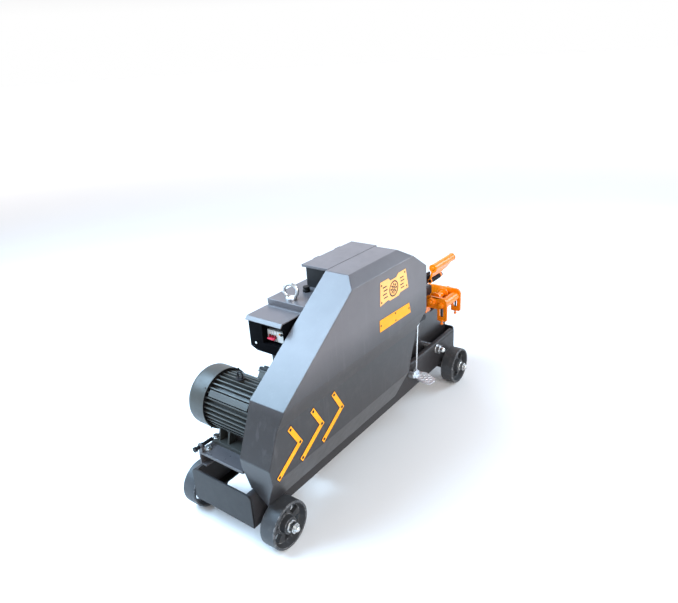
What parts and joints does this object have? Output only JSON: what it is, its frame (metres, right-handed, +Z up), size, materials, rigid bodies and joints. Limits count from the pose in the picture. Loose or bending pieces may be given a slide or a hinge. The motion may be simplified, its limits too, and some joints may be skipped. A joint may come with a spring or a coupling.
{
  "type": "rebar cutting machine",
  "caption": "Wheeled rebar cutting machine: motor and belt guard on a channel frame, geared crank body, sliding blade in a throat, roller frame, hold-down and foot pedal.",
  "frame": {"origin": "on the ground, under the middle of the rear axle", "axes": "+X forward to the cutting head, +Y to the side away from the belt guard, +Z up"},
  "size_m": [1.391, 0.4844, 0.773],
  "materials": {
    "graphite_paint": "semi-gloss",
    "black_paint": "semi-gloss",
    "motor_paint": "satin",
    "orange_paint": "gloss",
    "amber_paint": "gloss",
    "zinc_plate": "bright",
    "machined_steel": "satin",
    "cast_iron": "satin",
    "winding": "satin",
    "belt_rubber": "matt",
    "white_plastic": "gloss",
    "red_plastic": "gloss",
    "black_plastic": "matt"
  },
  "bodies": {
    "frame": {"near_rail": "graphite_paint", "far_rail": "graphite_paint", "end_plates": "graphite_paint", "axle_hangers": "graphite_paint", "axles": "machined_steel", "axle_nuts": "zinc_plate", "tie_bolts": "zinc_plate", "motor_base": "graphite_paint", "tension_screw": "zinc_plate", "motor_bolts": "zinc_plate", "motor_frame": "motor_paint", "motor_end_shields": "motor_paint", "stator": "winding", "fan_cover": "motor_paint", "terminal_box": "motor_paint", "motor_eye_bolt": "zinc_plate", "v_belts": "belt_rubber", "bearings": "machined_steel", "bearing_caps": "graphite_paint", "gearbox_housing": "graphite_paint", "top_cover": "graphite_paint", "rain_hood": "graphite_paint", "lifting_eye": "zinc_plate", "breather": "black_plastic", "oil_fittings": "zinc_plate", "slide_guide": "cast_iron", "fixed_blade": "zinc_plate", "switch_box": "black_paint", "breaker": "white_plastic", "tool_box": "graphite_paint", "belt_guard": "graphite_paint", "guard_plates": "amber_paint", "guard_fixings": "zinc_plate", "roller_brackets": "orange_paint", "hold_down_bracket": "black_paint", "hold_down_spring": "black_paint"},
    "rear_near_wheel": {"wheel_rear_near": "cast_iron"},
    "rear_far_wheel": {"wheel_rear_far": "cast_iron"},
    "front_near_wheel": {"wheel_front_near": "cast_iron"},
    "front_far_wheel": {"wheel_front_far": "cast_iron"},
    "motor_rotor": {"rotor": "machined_steel", "motor_pulley": "cast_iron"},
    "flywheel": {"flywheel_pulley": "cast_iron", "input_shaft": "machined_steel"},
    "middle_gear": {"mid_shaft": "machined_steel"},
    "crank": {"crankshaft": "machined_steel"},
    "rod": {"connecting_rod": "cast_iron"},
    "slide": {"slide_block": "machined_steel", "moving_blade": "zinc_plate"},
    "foot_pedal": {"pedal": "zinc_plate"},
    "pedal_rod": {"pull_rod": "zinc_plate"},
    "lever": {"clutch_lever": "black_paint"},
    "lid": {"tool_box_lid": "graphite_paint"},
    "toggle": {"breaker_toggle": "red_plastic"},
    "button": {"push_button": "black_plastic"},
    "hold_arm": {"hold_down_arm": "orange_paint"},
    "hold_roller": {"hold_down_roller": "orange_paint"},
    "flanged_roller": {"inner_roller": "orange_paint"},
    "roller_carrier": {"height_screws": "orange_paint"},
    "plain_roller": {"outer_roller": "orange_paint"}
  },
  "joints": [
    {"name": "rear_near_wheel_spin", "type": "hinge", "parent": "frame", "child": "rear_near_wheel", "pos_m": [0, -0.179, 0.08], "axis": [0, 1, 0], "continuous": true},
    {"name": "rear_far_wheel_spin", "type": "hinge", "parent": "frame", "child": "rear_far_wheel", "pos_m": [0, 0.179, 0.08], "axis": [0, 1, 0], "continuous": true},
    {"name": "front_near_wheel_spin", "type": "hinge", "parent": "frame", "child": "front_near_wheel", "pos_m": [1.19, -0.179, 0.08], "axis": [0, 1, 0], "continuous": true},
    {"name": "front_far_wheel_spin", "type": "hinge", "parent": "frame", "child": "front_far_wheel", "pos_m": [1.19, 0.179, 0.08], "axis": [0, 1, 0], "continuous": true},
    {"name": "flywheel_spin", "type": "hinge", "parent": "frame", "child": "flywheel", "pos_m": [0.575, 0, 0.525], "axis": [0, 1, 0], "continuous": true},
    {"name": "motor_spin", "type": "hinge", "parent": "frame", "child": "motor_rotor", "pos_m": [0.087, 0, 0.3925], "axis": [0, 1, 0], "continuous": true},
    {"name": "middle_gear_spin", "type": "hinge", "parent": "frame", "child": "middle_gear", "pos_m": [0.69994, 0, 0.442], "axis": [0, 1, 0], "continuous": true},
    {"name": "crank_spin", "type": "hinge", "parent": "frame", "child": "crank", "pos_m": [0.86779, 0, 0.415], "axis": [0, 1, 0], "continuous": true},
    {"name": "rod_swing", "type": "hinge", "parent": "crank", "child": "rod", "pos_m": [0.84579, 0, 0.415], "axis": [0, 1, 0], "continuous": true},
    {"name": "blade_slide", "type": "slide", "parent": "frame", "child": "slide", "axis": [1, 0, 0], "range_m": [0, 0.044]},
    {"name": "pedal_press", "type": "hinge", "parent": "frame", "child": "foot_pedal", "pos_m": [0.864, -0.14, 0.1735], "axis": [0, 1, 0], "range_deg": [0, 10], "stiffness_Nm_per_rad": 5, "springref_deg": -5.73},
    {"name": "pedal_rod_pull", "type": "slide", "parent": "frame", "child": "pedal_rod", "axis": [-0.0647, 0, -0.9979], "range_m": [0, 0.0065]},
    {"name": "lever_turn", "type": "hinge", "parent": "frame", "child": "lever", "pos_m": [0.985, -0.1, 0.3895], "axis": [0, -1, 0], "range_deg": [0, 5.3]},
    {"name": "lid_hinge", "type": "hinge", "parent": "frame", "child": "lid", "pos_m": [0.584, 0.044, 0.759], "axis": [-1, 0, 0], "range_deg": [0, 110]},
    {"name": "toggle_flip", "type": "hinge", "parent": "frame", "child": "toggle", "pos_m": [0.212, -0.009, 0.595], "axis": [0, 1, 0], "range_deg": [0, 40]},
    {"name": "button_press", "type": "slide", "parent": "frame", "child": "button", "axis": [1, 0, 0], "range_m": [0, 0.003], "stiffness_N_per_m": 300, "springref_m": -0.003},
    {"name": "hold_arm_swing", "type": "hinge", "parent": "frame", "child": "hold_arm", "pos_m": [1.15, -0.097, 0.504], "axis": [1, 0, 0], "range_deg": [0, 100], "stiffness_Nm_per_rad": 0.9, "springref_deg": -45.84},
    {"name": "hold_roller_spin", "type": "hinge", "parent": "hold_arm", "child": "hold_roller", "pos_m": [1.197, -0.111, 0.563], "axis": [1, 0, 0], "continuous": true},
    {"name": "flanged_roller_spin", "type": "hinge", "parent": "frame", "child": "flanged_roller", "pos_m": [1.18, -0.105, 0.412], "axis": [1, 0, 0], "continuous": true},
    {"name": "roller_height", "type": "slide", "parent": "frame", "child": "roller_carrier", "axis": [0, 0, 1], "range_m": [-0.045, 0]},
    {"name": "plain_roller_spin", "type": "hinge", "parent": "roller_carrier", "child": "plain_roller", "pos_m": [1.18, -0.151, 0.398], "axis": [1, 0, 0], "continuous": true}
  ],
  "couplings": [
    {"joint": "motor_spin", "follows": "flywheel_spin", "ratio": 4.3},
    {"joint": "middle_gear_spin", "follows": "flywheel_spin", "ratio": -0.25},
    {"joint": "crank_spin", "follows": "flywheel_spin", "ratio": 0.083333},
    {"joint": "rod_swing", "follows": "flywheel_spin", "ratio": -0.083333},
    {"joint": "pedal_rod_pull", "follows": "pedal_press", "m_per_rad": 0.037},
    {"joint": "lever_turn", "follows": "pedal_press", "ratio": 0.52857}
  ]
}
